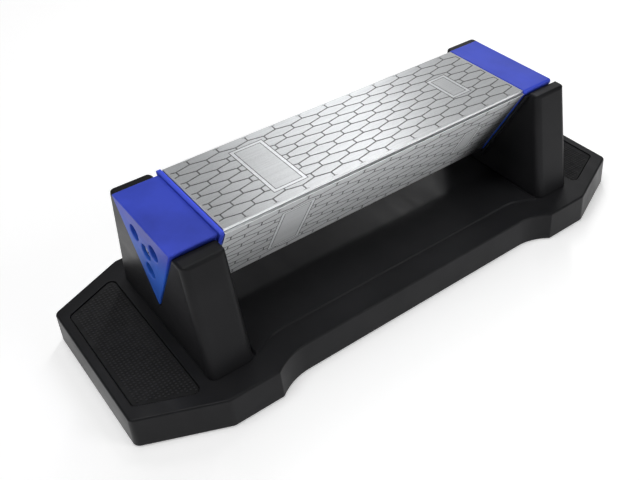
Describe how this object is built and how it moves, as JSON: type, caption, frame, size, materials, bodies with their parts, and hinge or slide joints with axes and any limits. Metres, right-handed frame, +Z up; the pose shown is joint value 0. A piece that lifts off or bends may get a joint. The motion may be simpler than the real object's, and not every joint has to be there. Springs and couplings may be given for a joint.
{
  "type": "three-sided diamond sharpening block",
  "caption": "Triangular diamond sharpening block with plastic end caps, resting apex down in the V-notched uprights of a waisted plastic bench base with grip pads.",
  "frame": {"origin": "on the bench, at the centre of the base's outline", "axes": "+X along the block and base, +Y across towards the far side, +Z up out of the V notches"},
  "size_m": [0.261, 0.1016, 0.0687],
  "materials": {
    "base_plastic": "satin black moulded plastic, fine spark grain",
    "cradle_plastic": "satin black moulded plastic",
    "pad_rubber": "matt black, fine dot texture",
    "foot_rubber": "matt black",
    "core_plastic": "plain grey moulding, hidden",
    "diamond_plate": "nickel-bonded diamond on steel, satin, with engraved elongated hexagon cells",
    "cap_plastic": "satin blue moulded plastic",
    "fastener_steel": "bright zinc"
  },
  "bodies": {
    "base": {"base_shell": "base_plastic", "cradle_left": "cradle_plastic", "cradle_right": "cradle_plastic", "cradle_screw_front_left": "fastener_steel", "cradle_screw_front_right": "fastener_steel", "cradle_screw_rear_left": "fastener_steel", "cradle_screw_rear_right": "fastener_steel", "foot_front_left": "foot_rubber", "foot_front_right": "foot_rubber", "foot_rear_left": "foot_rubber", "foot_rear_right": "foot_rubber", "grip_pad_left": "pad_rubber", "grip_pad_right": "pad_rubber"},
    "tie_rod": {"tie_nut_left": "fastener_steel", "tie_nut_right": "fastener_steel", "tie_rod": "fastener_steel"},
    "block": {"cap_screw_left_1": "fastener_steel", "cap_screw_left_2": "fastener_steel", "cap_screw_left_3": "fastener_steel", "cap_screw_right_1": "fastener_steel", "cap_screw_right_2": "fastener_steel", "cap_screw_right_3": "fastener_steel", "end_cap_left": "cap_plastic", "end_cap_right": "cap_plastic", "plate_coarse": "diamond_plate", "plate_fine": "diamond_plate", "plate_medium": "diamond_plate", "stone_core": "core_plastic"}
  },
  "joints": [
    {"name": "block_lift", "type": "slide", "parent": "base", "child": "tie_rod", "axis": [0, 0, 1], "range_m": [0, 0.105]},
    {"name": "block_turn", "type": "hinge", "parent": "tie_rod", "child": "block", "pos_m": [0, 0, 0.0537], "axis": [1, 0, 0], "range_deg": [0, 120]}
  ],
  "couplings": [
    {"joint": "block_turn", "follows": "block_lift", "rad_per_m": 19.94}
  ]
}
